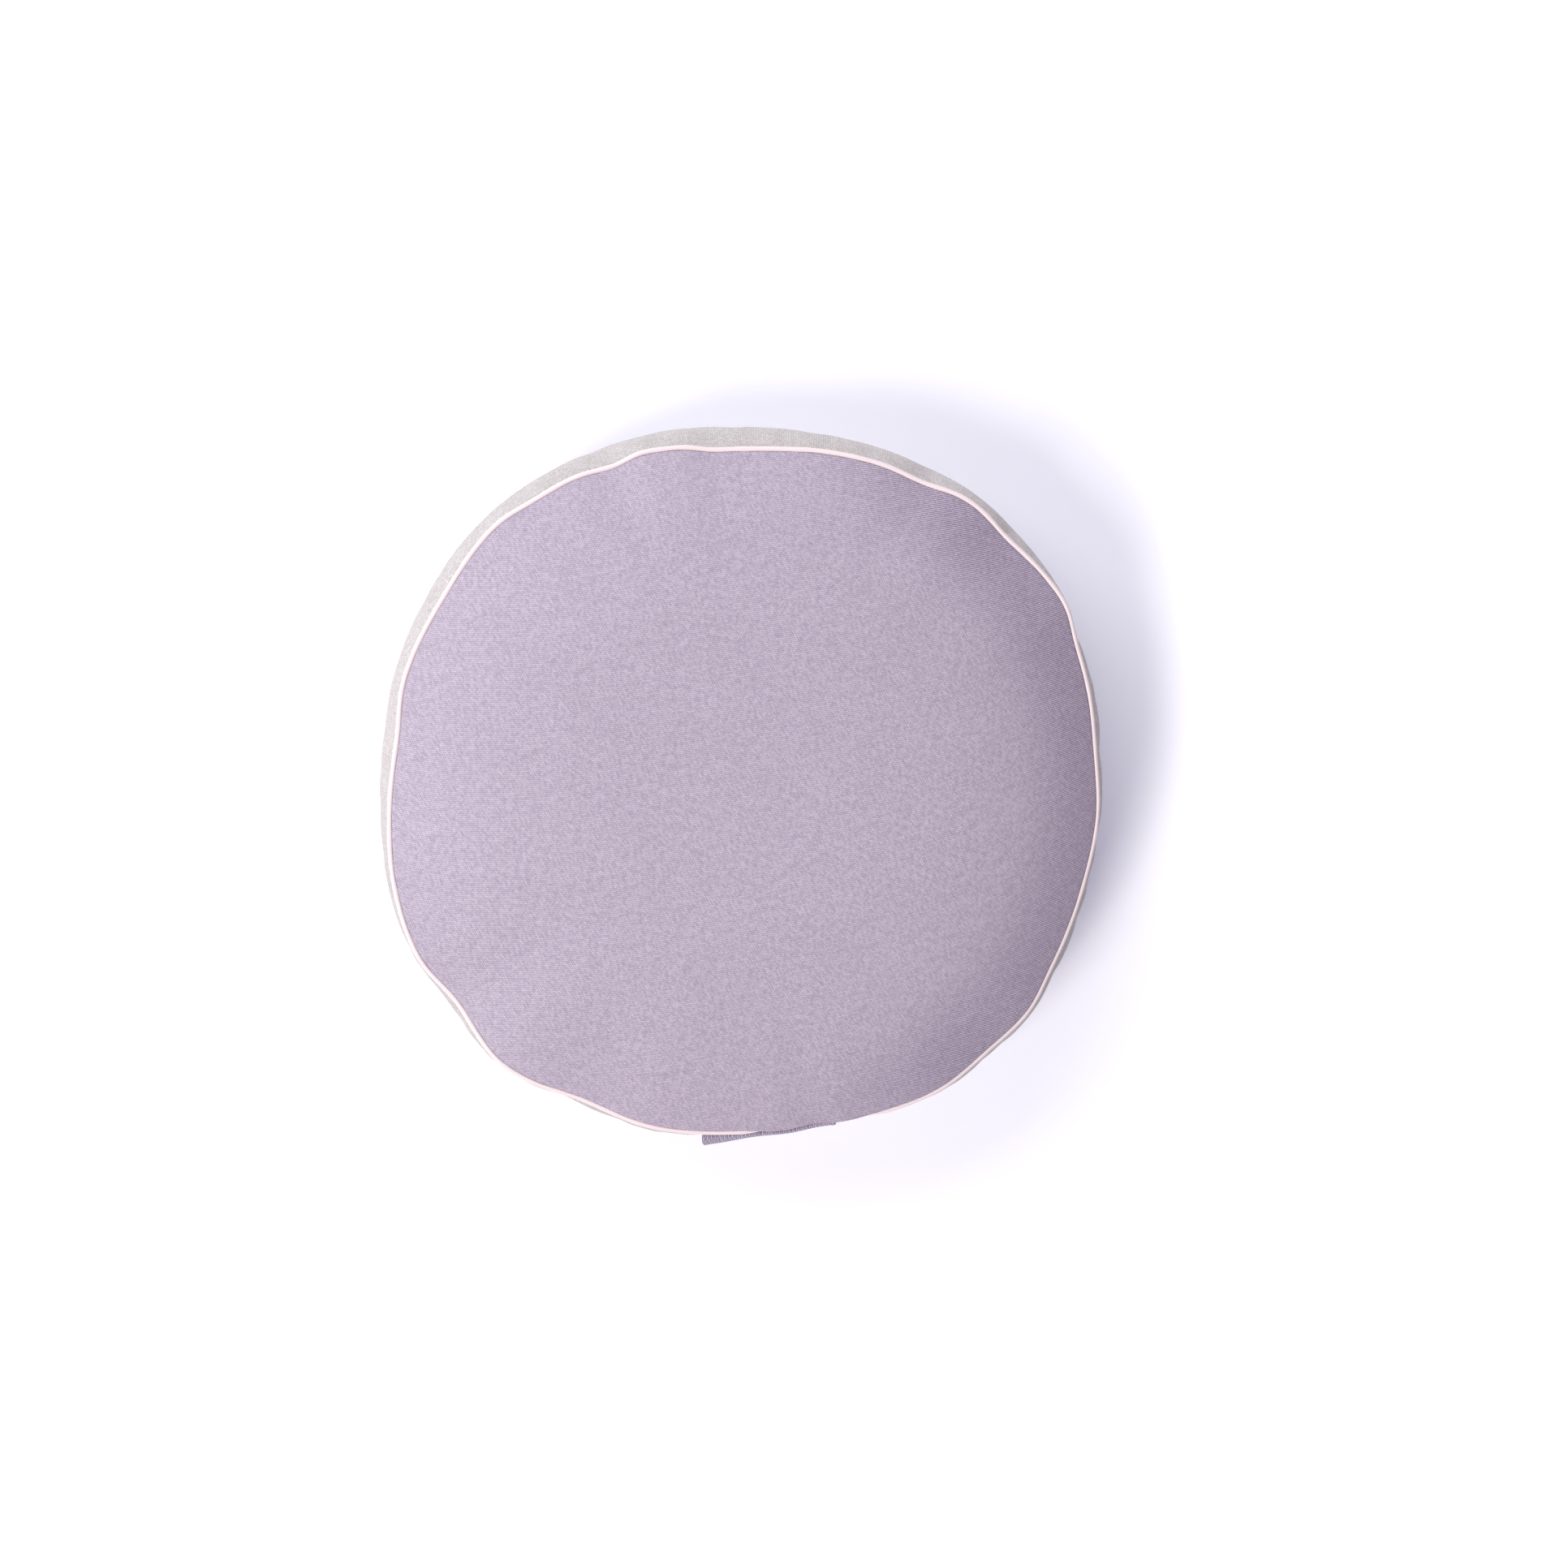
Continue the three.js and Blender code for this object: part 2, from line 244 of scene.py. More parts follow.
def filled_out(points):
    """Presses the skin out from inside as cloth held at its seams, and returns its points."""
    skin = mesh_piece("skin", points, skin_faces)
    held = skin.vertex_groups.new(name="held")
    held.add(list(range(TOP_RIM, BAND_START + RIM_POINTS)), 1, "REPLACE")
    held.add(list(range(band_rings[-1], len(points))), 1, "REPLACE")
    held.add(np.flatnonzero(held_by_strap(points) > FIRMLY_HELD).tolist(), 1, "REPLACE")
    even = skin.vertex_groups.new(name="even")
    even.add(list(range(DISC_POINTS)), 1, "REPLACE")
    cloth = skin.modifiers.new("filling", "CLOTH")
    cloth.settings.quality = FILL_QUALITY
    cloth.settings.vertex_group_mass = "held"
    cloth.settings.vertex_group_shrink = "even"
    cloth.settings.shrink_min = -BAND_EASE
    cloth.settings.shrink_max = 0
    cloth.settings.use_pressure = True
    cloth.settings.uniform_pressure_force = FILL_PRESSURE
    cloth.settings.effector_weights.gravity = 0
    cloth.collision_settings.use_collision = False
    cloth.point_cache.frame_end = FILL_FRAMES
    for number in range(1, FILL_FRAMES + 1):
        bpy.context.scene.frame_set(number)
    pressed = points_of(skin)
    bpy.data.objects.remove(skin)
    bpy.context.scene.frame_set(1)
    return pressed


def only_folds(points, pressed, start, count):
    """Takes off a ring's even growth, so that the cushion keeps its size and only its folds stay."""
    turn = np.arange(count) * 2 * math.pi / count
    outward = np.stack([np.cos(turn), np.sin(turn)], axis=1)
    moved = pressed[start:start + count] - points[start:start + count]
    reach_moved = (moved[:, :2] * outward).sum(axis=1)
    moved[:, :2] -= reach_moved.mean() * outward
    moved[:, 2] -= moved[:, 2].mean()
    return moved


# The photo's outline is smooth, so less than half of the depth of the folds is kept
MOST_MOVE = 5
FOLDS_LEFT = 0.45
skin_points = start_skin.copy()
pressed_skin = filled_out(start_skin)
rings = [(1 + 3 * n * (n - 1), 6 * n) for n in range(1, SKIN_RINGS + 1)]
rings += [(start, RIM_POINTS) for start in band_rings]
for start, count in rings:
    moved = only_folds(start_skin, pressed_skin, start, count)
    size = np.linalg.norm(moved, axis=1, keepdims=True)
    moved *= np.minimum(1, MOST_MOVE / np.maximum(size, MOST_MOVE / 100))
    moved *= FOLDS_LEFT * (1 - held_by_strap(start_skin[start:start + count])[:, None])
    skin_points[start:start + count] += moved


def subdivided(made):
    """Applies one level of subdivision to an object's mesh."""
    made.modifiers.new("finer", "SUBSURF").levels = 1
    shown = made.evaluated_get(bpy.context.evaluated_depsgraph_get())
    made.data = bpy.data.meshes.new_from_object(shown)
    made.modifiers.clear()
    return made


body_points = skin_points.copy()
body_points[:DISC_POINTS, 2] -= CLOTH + GAP
body_edge = ring(seam_reach - BODY_BEHIND_CORD, seam_height - CLOTH - GAP, RIM_POINTS)
body_points[TOP_RIM:DISC_POINTS] = body_edge
body_points[BASE_START:, 2] += CLOTH + GAP
filled_cushion = subdivided(mesh_piece("filled_cushion", body_points, skin_faces))

# Puckers of the band: where round the seam, how deep, how wide and how far they run down, in mm
SEAM_PUCKERS = [
    {"angle": 11, "depth": 2.2, "width": 5, "reach": 14, "lean": 0.5},
    {"angle": 45, "depth": 1.2, "width": 5, "reach": 16, "lean": -0.4},
    {"angle": 58, "depth": 1.4, "width": 6, "reach": 20, "lean": 0.3},
    {"angle": 97, "depth": 2, "width": 6, "reach": 18, "lean": 0.9},
    {"angle": 116, "depth": 1.3, "width": 6, "reach": 16, "lean": 0.7},
]
BAND_FROM_REACH = BASE_REACH.mean() - 3
HIDDEN_SIDE_PUCKERS = 26
LOWER_SEAM_PUCKERS = 44
PUCKER_RIDGE = 0.45
PUCKER_RIDGE_WIDTH = 2.2
PUCKER_START = 3
PUCKER_AT_SEAM = 0.35
chance = np.random.default_rng(7)


def random_puckers(count, first, last):
    """Puckers at uneven distances round a seam."""
    angles = np.linspace(first, last, count) + chance.uniform(-4, 4, count)
    return [
        {
            "angle": angle,
            "depth": chance.uniform(0.3, 1.2),
            "width": chance.uniform(3.5, 6.5),
            "reach": chance.uniform(8, 20),
            "lean": chance.uniform(-0.6, 0.6),
        }
        for angle in angles
    ]


def pucker(points, puckers, seam_line, side):
    """Draws the band in along each pucker, with a low ridge at both sides of it.
    The side is 1 below the upper seam and -1 above the lower."""
    turn = np.degrees(np.arctan2(points[:, 1], points[:, 0])) % FULL_TURN
    reach = np.hypot(points[:, 0], points[:, 1])
    line = np.interp(turn, SPOKE_ANGLES, seam_line, period=FULL_TURN)
    away = np.maximum(0, (line - points[:, 2]) * side)
    drawn = np.zeros(len(points))
    for fold in puckers:
        aside = (turn - fold["angle"] + FULL_TURN / 2) % FULL_TURN - FULL_TURN / 2
        arc = np.radians(aside) * reach - fold["lean"] * away
        valley = np.exp(-((arc / fold["width"]) ** 2))
        ridges = np.exp(-((arc / (PUCKER_RIDGE_WIDTH * fold["width"])) ** 2))
        drawn += fold["depth"] * (valley - PUCKER_RIDGE * ridges) * np.exp(-away / fold["reach"])
    fade_in = np.clip(away / PUCKER_START, PUCKER_AT_SEAM, 1)
    share = np.where(reach > BASE_FLAT_RADIUS, drawn * fade_in / np.maximum(reach, 1), 0)
    points[:, :2] *= (1 - share)[:, None]


def place_points(made, points):
    """Moves an object's points to places in mm from the cushion's axis."""
    made.data.vertices.foreach_set("co", ((points + AXIS) * MM).astype(np.float32).ravel())
    made.data.update()


body_points = points_of(filled_cushion)
top_line = SEAM_HEIGHT - BAND_TOP_UNDER_CORD
on_band = np.flatnonzero(
    (np.hypot(body_points[:, 0], body_points[:, 1]) > BAND_FROM_REACH)
    & (body_points[:, 2] > BASE_SEAM_HEIGHT)
    & (held_by_strap(body_points) < 0.5)
)
band_points = body_points[on_band]
pucker(band_points, SEAM_PUCKERS + random_puckers(HIDDEN_SIDE_PUCKERS, 130, 355), top_line, 1)
pucker(band_points, random_puckers(LOWER_SEAM_PUCKERS, 0, 352), np.full(SPOKES, BAND_BOTTOM), -1)
body_points[on_band] = band_points
place_points(filled_cushion, body_points)


class Shade:
    """A socket in the material being made. Sums of sockets add Math nodes to its tree."""

    tree = None

    def __init__(self, socket):
        self.socket = socket

    @classmethod
    def node(cls, kind, settings, sockets, output=0):
        """Adds a node: its settings first, then the values or links of its sockets."""
        made = cls.tree.nodes.new(kind)
        for name, value in settings.items():
            setattr(made, name, value)
        for name, value in sockets.items():
            if isinstance(value, Shade):
                cls.tree.links.new(value.socket, made.inputs[name])
            else:
                made.inputs[name].default_value = value
        return cls(made.outputs[output])

    @classmethod
    def maths(cls, operation, *values):
        return cls.node("ShaderNodeMath", {"operation": operation}, dict(enumerate(values)))

    def __add__(self, other):
        return self.maths("ADD", self, other)

    def __sub__(self, other):
        return self.maths("SUBTRACT", self, other)

    def __rsub__(self, other):
        return self.maths("SUBTRACT", other, self)

    def __mul__(self, other):
        return self.maths("MULTIPLY", self, other)

    def __truediv__(self, other):
        return self.maths("DIVIDE", self, other)

    def __mod__(self, other):
        return self.maths("FLOORED_MODULO", self, other)

    __radd__ = __add__
    __rmul__ = __mul__

    def floor(self):
        return self.maths("FLOOR", self)

    def hump(self):
        """A thread's round back over each whole step of the value: 0 at its edges, 1 on top."""
        part = self.maths("FRACT", self) * 2 - 1
        return 1 - part * part


def mix_colours(share, first, second, blend="MIX"):
    """Two colours mixed or multiplied by a share."""
    return Shade.node(
        "ShaderNodeMix",
        {"data_type": "RGBA", "blend_type": blend},
        {"Factor": share, 6: first, 7: second},
        output=2,
    )


def grey(value):
    """A value as a colour that dims another one by multiplying."""
    return Shade.node("ShaderNodeCombineColor", {}, {0: value, 1: value, 2: value})


def place_in_mm():
    """The shaded point in mm from the cushion's axis: right, away and up."""
    place = Shade.node("ShaderNodeTexCoord", {}, {}, output=3)
    split = Shade.node("ShaderNodeSeparateXYZ", {}, {"Vector": place}).socket.node
    return [Shade(split.outputs[n]) / MM - float(AXIS[n]) for n in range(3)]


def combine(right, away, up):
    return Shade.node("ShaderNodeCombineXYZ", {}, {"X": right, "Y": away, "Z": up})


def noise(place, scale, detail=2):
    """Soft noise from 0 to 1, its grains one unit of place apart at scale 1."""
    return Shade.node(
        "ShaderNodeTexNoise",
        {"noise_dimensions": "3D"},
        {"Vector": place, "Scale": scale, "Detail": detail, "Roughness": 0.6},
    )


def thread_shade(row, step, seed):
    """A value from 0 to 1 for each thread or stitch of a weave."""
    place = combine(row, step, seed)
    return Shade.node("ShaderNodeTexWhiteNoise", {"noise_dimensions": "3D"}, {"Vector": place})


def cloth_material(name, colour, relief, relief_mm, roughness, sheen, sheen_tint):
    """A matt cloth whose colour, relief and roughness vary, and whose sheen is even."""
    bump = Shade.node("ShaderNodeBump", {}, {"Strength": 1, "Distance": relief_mm * MM, "Height": relief})
    shader = Shade.node(
        "ShaderNodeBsdfPrincipled",
        {},
        {
            "Base Color": colour,
            "Roughness": roughness,
            "Normal": bump,
            "Specular IOR Level": 0.25,
            "Sheen Weight": sheen,
            "Sheen Roughness": 0.45,
            "Sheen Tint": sheen_tint,
        },
    )
    surface = Shade.tree.nodes.new("ShaderNodeOutputMaterial")
    Shade.tree.links.new(shader.socket, surface.inputs["Surface"])
    return bpy.data.materials[name]


def new_material(name):
    material = bpy.data.materials.new(name)
    material.use_nodes = True
    material.node_tree.nodes.clear()
    Shade.tree = material.node_tree
    return name


LINEN_THREAD = 1.45
OFF_ZERO = 200
LINEN_WANDER = 1.1
LINEN_WANDER_LONG, LINEN_WANDER_CROSS = 0.07, 0.06
LINEN_SLUBS = 0.45
LINEN_FLECKS = 1.1
LINEN_CLOUDS = 0.02
LINEN_RELIEF = 0.22
LINEN_SHEEN = 0.12
LINEN_SHEEN_TINT = (0.86, 0.84, 1, 1)
BAND_THREADS = 2 * round(math.pi * float(GIRTH_REACH.mean()) / LINEN_THREAD)
LINEN_PALE = (0.64, 0.6, 0.585, 1)
LINEN_MID = (0.43, 0.395, 0.38, 1)
LINEN_GAP = (0.09, 0.075, 0.065, 1)


def linen(name, along, across, place):
    """Plain linen: each thread goes over and under the next, with thick and thin places.
    The threads wander a little, so that the weave is no ruled grid."""
    new_material(name)
    along, across, place = along(), across(), place()
    along = along + LINEN_WANDER * noise(place, LINEN_WANDER_LONG)
    across = across + LINEN_WANDER * noise(place, LINEN_WANDER_CROSS)
    column = along.floor()
    row = across.floor()
    over = (column + row) % 2
    back_along, back_across = along.hump(), across.hump()
    lengthwise = back_across * (0.45 + 0.55 * back_along)
    crosswise = back_along * (0.45 + 0.55 * back_across)
    height = lengthwise * over + crosswise * (1 - over)
    warp = thread_shade(column, row * (1 - over), 1)
    weft = thread_shade(row, column * over, 2)
    shade = warp * (1 - over) + weft * over
    slub = noise(place, LINEN_SLUBS, detail=3)
    fleck = noise(place, LINEN_FLECKS, detail=1)
    gap = Shade.maths("POWER", (1 - back_along) * (1 - back_across), 1.3)
    tone = shade * 0.6 + slub * 0.5 + over * 0.3 + (fleck - 0.5) * 1.6 - 0.15
    colour = mix_colours(tone, LINEN_MID, LINEN_PALE)
    colour = mix_colours(gap * 0.7, colour, LINEN_GAP)
    colour = mix_colours(1, colour, grey(0.9 + 0.2 * noise(place, LINEN_CLOUDS)), "MULTIPLY")
    relief = height + 0.5 * slub
    matt = 0.82 + 0.12 * shade
    return cloth_material(name, colour, relief, LINEN_RELIEF, matt, LINEN_SHEEN, LINEN_SHEEN_TINT)


def turn_threads():
    right, away, up = place_in_mm()
    turn = Shade.maths("ARCTAN2", away, right) / (2 * math.pi) + 1
    return turn * BAND_THREADS


def down_threads():
    down = Shade.node("ShaderNodeAttribute", {"attribute_name": "down_band"}, {}, output=2)
    return down / LINEN_THREAD


def whole_place():
    return combine(*place_in_mm())


def mark_points(made, name, values):
    """Stores a value for each point of an object, for its material to read."""
    layer = made.data.attributes.new(name, "FLOAT", "POINT")
    layer.data.foreach_set("value", np.asarray(values, dtype=np.float32))


def mark_down_band(made):
    """Stores how far down the band each point lies, measured along the cloth, in mm."""
    points = points_of(made)
    turn = np.degrees(np.arctan2(points[:, 1], points[:, 0])) % FULL_TURN
    top = np.interp(turn, SPOKE_ANGLES, SEAM_HEIGHT, period=FULL_TURN)
    seam = np.interp(turn, SPOKE_ANGLES, SEAM_REACH, period=FULL_TURN)
    girth = np.interp(turn, SPOKE_ANGLES, GIRTH_REACH, period=FULL_TURN)
    fall = top - points[:, 2]
    share = np.clip(2 * fall / (top - BASE_SEAM_HEIGHT), 0, 1)
    down = fall + (girth - seam) ** 2 / (top - BASE_SEAM_HEIGHT) * 4 / 3 * (1 - (1 - share) ** 3)
    mark_points(made, "down_band", down)


mark_down_band(filled_cushion)
filled_cushion.data.materials.append(linen("linen_band", turn_threads, down_threads, whole_place))
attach(filled_cushion, "root")
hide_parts("cushion_body")


# The top panel: a round of heavy mauve cotton with fine ribs, stretched over the crown.
# It is cut about 10 mm larger all round for the seam, and its edge turns down behind the piping.
EDGE_TURN = 0.8
EDGE_DROP = 0.38


def cloth_shell(name, outside, tuck, inward):
    """A closed sheet: the outside disc, a tucked rim, and an inside one cloth thickness away."""
    inside = outside.copy()
    inside[:, 2] += inward
    points = np.concatenate([outside, tuck, inside])
    rim = len(outside) - RIM_POINTS
    inside_start = len(outside) + RIM_POINTS
    up = disc_faces()
    down = [face[::-1] for face in disc_faces(inside_start)]
    walls = wall_faces(rim, len(outside)) + wall_faces(len(outside), inside_start + rim)
    faces = up + walls + down
    if inward > 0:
        faces = [face[::-1] for face in faces]
    return subdivided(mesh_piece(name, points, faces))


tuck_reach = drawn_round(EDGE_REACH, RIM_POINTS) + EDGE_TURN
tuck_ring = ring(tuck_reach, drawn_round(EDGE_HEIGHT, RIM_POINTS) - EDGE_DROP, RIM_POINTS)
mauve_top = cloth_shell("mauve_top", skin_points[:DISC_POINTS], tuck_ring, -CLOTH)

RIB = 1.16
CROSS_THREAD = 1.45
FLOAT_SHIFT = 0.44
TWILL_LEAN = math.radians(60)
STREAK_WIDTH = 0.75
STREAK_LENGTH = 5
MAUVE_PALE = (0.613, 0.537, 0.622, 1)
MAUVE_DEEP = (0.413, 0.363, 0.434, 1)
MAUVE_GAP = (0.14, 0.09, 0.18, 1)
MAUVE_CLOUDS = 0.018
MAUVE_SHEEN = 0.22
MAUVE_SHEEN_TINT = (0.88, 0.92, 1, 1)


def ribbed_cotton(name, coordinates, depth, relief_mm):
    """Fine ribs, each a row of short floats that are set off from those of the next row.
    The grooves between the ribs are darkened with painted shade, by the share that the coordinates give."""
    new_material(name)
    along, across, place, painted_groove_shade = coordinates()
    rows = across / RIB
    row = rows.floor()
    steps = along / CROSS_THREAD + row * FLOAT_SHIFT
    step = steps.floor()
    height = (0.35 + 0.65 * rows.hump()) * (0.5 + 0.5 * steps.hump())
    shade = thread_shade(row, step, 1)
    across_twill = along * math.sin(TWILL_LEAN) + across * math.cos(TWILL_LEAN)
    along_twill = along * math.cos(TWILL_LEAN) - across * math.sin(TWILL_LEAN)
    streak_place = combine(across_twill / STREAK_WIDTH, along_twill / STREAK_LENGTH, 0)
    streak = noise(streak_place, 1, detail=1)
    cloud = noise(place, MAUVE_CLOUDS)
    tone = 0.5 + 0.6 * (shade - 0.5) + 2 * (streak - 0.5)
    colour = mix_colours(tone, MAUVE_DEEP, MAUVE_PALE)
    # The gaps of the weave, with painted shade added in the grooves between the ribs
    colour = mix_colours((1 - height) * depth + (1 - rows.hump()) * painted_groove_shade, colour, MAUVE_GAP)
    colour = mix_colours(1, colour, grey(0.96 + 0.08 * cloud), "MULTIPLY")
    relief = height + 0.3 * streak
    matt = 0.78 + 0.12 * shade
    return cloth_material(name, colour, relief, relief_mm, matt, MAUVE_SHEEN, MAUVE_SHEEN_TINT)


RIB_TILT = 0.11
RIB_BOW = 15.4
RIB_BOW_REACH = 220
# How much painted shade the top's rib grooves get, and the reaches and distances to the right, in mm, where
# it starts and where it is full
RIB_GROOVE_SHADE = 0.6
SHADE_FROM_REACH, SHADE_AT_REACH = 155, 205
SHADE_FROM_RIGHT, SHADE_AT_RIGHT = 20, 130
TOP_GROOVES = 0.7
TOP_RELIEF = 0.25
FAR_OFF = 1000


def ramp(value, first, last):
    """Rises smoothly from 0 to 1 between two values."""
    settings = {"interpolation_type": "SMOOTHSTEP"}
    return Shade.node("ShaderNodeMapRange", settings, {"Value": value, "From Min": first, "From Max": last})


def top_coordinates():
    """Ribs that run nearly from left to right, and bend where the cloth turns down at the sides.
    Their grooves get painted shade over the shoulder at the right, the side away from the lamps."""
    right, away, up = place_in_mm()
    bow = Shade.maths("POWER", Shade.maths("ABSOLUTE", right / RIB_BOW_REACH), 4) * RIB_BOW
    reach = Shade.maths("SQRT", right * right + away * away)
    # Painted shade in the rib grooves, over the right shoulder, the side away from the lamps
    painted_groove_shade = RIB_GROOVE_SHADE * ramp(reach, SHADE_FROM_REACH, SHADE_AT_REACH)
    painted_groove_shade = painted_groove_shade * ramp(right, SHADE_FROM_RIGHT, SHADE_AT_RIGHT)
    across = away - RIB_TILT * right - bow
    return right + FAR_OFF, across + FAR_OFF, combine(right, away, up), painted_groove_shade


mauve_top.data.materials.append(ribbed_cotton("mauve_cotton", top_coordinates, TOP_GROOVES, TOP_RELIEF))
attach(mauve_top, "root")
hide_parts("top_panel")


# The piping: a cotton cord in a bias strip of pale pink cotton, caught in the top seam.
# The wrapped cord stands up between the mauve cloth and the linen.
CORD_STATIONS = 960
CORD_SIDES = 16
CORD_WOBBLE = 0.05
CORD_WAVES_SHORT, CORD_WAVES_LONG = 61, 17


def cord_ring():
    """A closed tube round the seam, a little thicker and thinner as it goes."""
    reach = drawn_round(SEAM_REACH, CORD_STATIONS)
    height = drawn_round(SEAM_HEIGHT, CORD_STATIONS)
    waves = np.arange(CORD_STATIONS) * 2 * math.pi / CORD_STATIONS
    wobble = np.sin(CORD_WAVES_SHORT * waves) * np.sin(CORD_WAVES_LONG * waves)
    radius = CORD_RADIUS * (1 + CORD_WOBBLE * wobble)
    rings = []
    for side in range(CORD_SIDES):
        turn = -2 * math.pi * side / CORD_SIDES
        rings.append(ring(reach + radius * math.cos(turn), height + radius * math.sin(turn), CORD_STATIONS))
    starts = [side * CORD_STATIONS for side in range(CORD_SIDES)]
    faces = []
    for upper, lower in zip(starts, starts[1:] + starts[:1]):
        faces += wall_faces(upper, lower, CORD_STATIONS)
    made = mesh_piece("pink_piping", np.concatenate(rings), faces)
    inner = [-math.cos(2 * math.pi * side / CORD_SIDES) for side in range(CORD_SIDES)]
    mark_points(made, "inner_side", np.repeat(inner, CORD_STATIONS))
    return made


PINK = (0.8, 0.68, 0.685, 1)
# The cord's inner side, where it meets the mauve cloth, is painted deeper pink as shade in the groove
PINK_GROOVE_SHADE = (0.66, 0.46, 0.48, 1)
PIPING_CREASES = 640
PIPING_WRINKLES = 0.5
PIPING_RELIEF = 0.06
PIPING_SHEEN_TINT = (1, 0.95, 0.95, 1)
pink_piping = cord_ring()
new_material("pink_cotton")
right, away, up = place_in_mm()
round_seam = Shade.maths("ARCTAN2", away, right) / (2 * math.pi) + 1
inner_side = Shade.node("ShaderNodeAttribute", {"attribute_name": "inner_side"}, {}, output=2)
creases = (round_seam * PIPING_CREASES + up * 0.5 + inner_side * 0.6).hump()
wrap_noise = noise(combine(right, away, up), PIPING_WRINKLES)
# Painted shade on the cord's inner side, towards the mauve cloth
pink = mix_colours(ramp(inner_side, 0.8, 1), PINK, PINK_GROOVE_SHADE)
# Painted shade in the valleys of the wrap's creases, with random tone from the noise
pink = mix_colours(1, pink, grey(0.93 + 0.07 * creases + 0.06 * wrap_noise), "MULTIPLY")
wrap = creases + wrap_noise
matt = 0.7 + 0.1 * wrap_noise
pink_cotton = cloth_material("pink_cotton", pink, wrap, PIPING_RELIEF, matt, 0.1, PIPING_SHEEN_TINT)
pink_piping.data.materials.append(pink_cotton)
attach(pink_piping, "root")
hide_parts("top_piping")


# The base panel: a round of the same linen, sewn to the band with a plain seam.
# It is flat where the cushion lies on it and curls up to the seam.
base_tuck = ring(base_reach - GAP, BASE_SEAM_HEIGHT + CLOTH / 2, RIM_POINTS)
linen_base = cloth_shell("linen_base", base_skin, base_tuck, CLOTH)


def base_along():
    return place_in_mm()[0] / LINEN_THREAD + OFF_ZERO


def base_across():
    return place_in_mm()[1] / LINEN_THREAD + OFF_ZERO


linen_base.data.materials.append(linen("linen_base", base_along, base_across, whole_place))
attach(linen_base, "root")
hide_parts("base_panel")


# The grab strap: mauve cloth doubled to a flat band, with its ribs running across it.
# It is stitched to the side band at its ends, and its left end kicks out at the lower corner.
STRAP_SECTIONS_FOUND = 14
STRAP_STEPS = 7
STRAP_THICKNESS = 2.2
STRAP_GROOVES = 1.3
STRAP_RELIEF = 0.4
STRAP_FLOATS = 10
# Painted shade in the strap's rib grooves, even over all of it
STRAP_GROOVE_SHADE = 0.35


def strap_faces_found():
    """The two faces of the strap's solid, as rows of points from its bottom edge to its top."""
    points = np.array([vertex.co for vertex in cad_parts["grab_strap"].data.vertices]) / MM - AXIS
    points = np.unique(np.round(points, 3), axis=0)
    turn = np.degrees(np.arctan2(points[:, 1], points[:, 0]))
    rows = np.array_split(points[np.argsort(turn)], STRAP_SECTIONS_FOUND)
    outside, inside = [], []
    for row in rows:
        row = row[np.argsort(row[:, 2], kind="stable")]
        for pair in np.array_split(row, STRAP_STEPS):
            reach = np.hypot(pair[:, 0], pair[:, 1])
            outside.append(pair[np.argmax(reach)])
            inside.append(pair[np.argmin(reach)])
    return np.array(outside), np.array(inside)


strap_outside, strap_inside = strap_faces_found()
strap_middle = (strap_outside + strap_inside) / 2
section_of = np.repeat(np.arange(STRAP_SECTIONS_FOUND), STRAP_STEPS)
strap_grid = [
    (row * STRAP_STEPS + step, (row + 1) * STRAP_STEPS + step,
     (row + 1) * STRAP_STEPS + step + 1, row * STRAP_STEPS + step + 1)
    for row in range(STRAP_SECTIONS_FOUND - 1)
    for step in range(STRAP_STEPS - 1)
]

# Its top edge leans in above the middle, with the seam that has rolled under
TOP_EDGE_FOLLOWS = 0.9
step_up = np.tile(np.arange(STRAP_STEPS), STRAP_SECTIONS_FOUND)
strap_turn = np.degrees(np.arctan2(strap_middle[:, 1], strap_middle[:, 0])) % FULL_TURN
seam_drawn = ROLL_IN * np.interp(strap_turn, SPOKE_ANGLES, rolled, period=FULL_TURN)
top_follows = np.interp(step_up, [STRAP_STEPS - 3, STRAP_STEPS - 1], [0, TOP_EDGE_FOLLOWS])
strap_reach = np.hypot(strap_middle[:, 0], strap_middle[:, 1])
strap_middle[:, :2] *= (1 - seam_drawn * top_follows / strap_reach)[:, None]

# Its left end is cut straight up, which the photo shows as an upright edge
END_SQUARED = 3
END_SECTIONS = 4
near_end = np.clip(1 - section_of / END_SECTIONS, 0, 1)
strap_middle[:, 0] -= END_SQUARED * near_end * step_up / (STRAP_STEPS - 1)
grab_strap = subdivided(mesh_piece("mauve_strap", strap_middle, strap_grid))
thicken = grab_strap.modifiers.new("doubled", "SOLIDIFY")
thicken.thickness = STRAP_THICKNESS * MM
thicken.offset = 0
grab_strap.modifiers.new("rounded", "SUBSURF").levels = 2
shown_strap = grab_strap.evaluated_get(bpy.context.evaluated_depsgraph_get())
grab_strap.data = bpy.data.meshes.new_from_object(shown_strap)
grab_strap.modifiers.clear()


def strap_coordinates():
    """Ribs that run straight up the strap, in floats much longer than those of the top."""
    right, away, up = place_in_mm()
    place = combine(right, away, up)
    # The strap's grooves get painted shade evenly
    return up / STRAP_FLOATS + OFF_ZERO, right + OFF_ZERO, place, STRAP_GROOVE_SHADE


strap_cotton = ribbed_cotton("mauve_strap_cotton", strap_coordinates, STRAP_GROOVES, STRAP_RELIEF)
grab_strap.data.materials.append(strap_cotton)
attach(grab_strap, "root")
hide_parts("grab_strap")

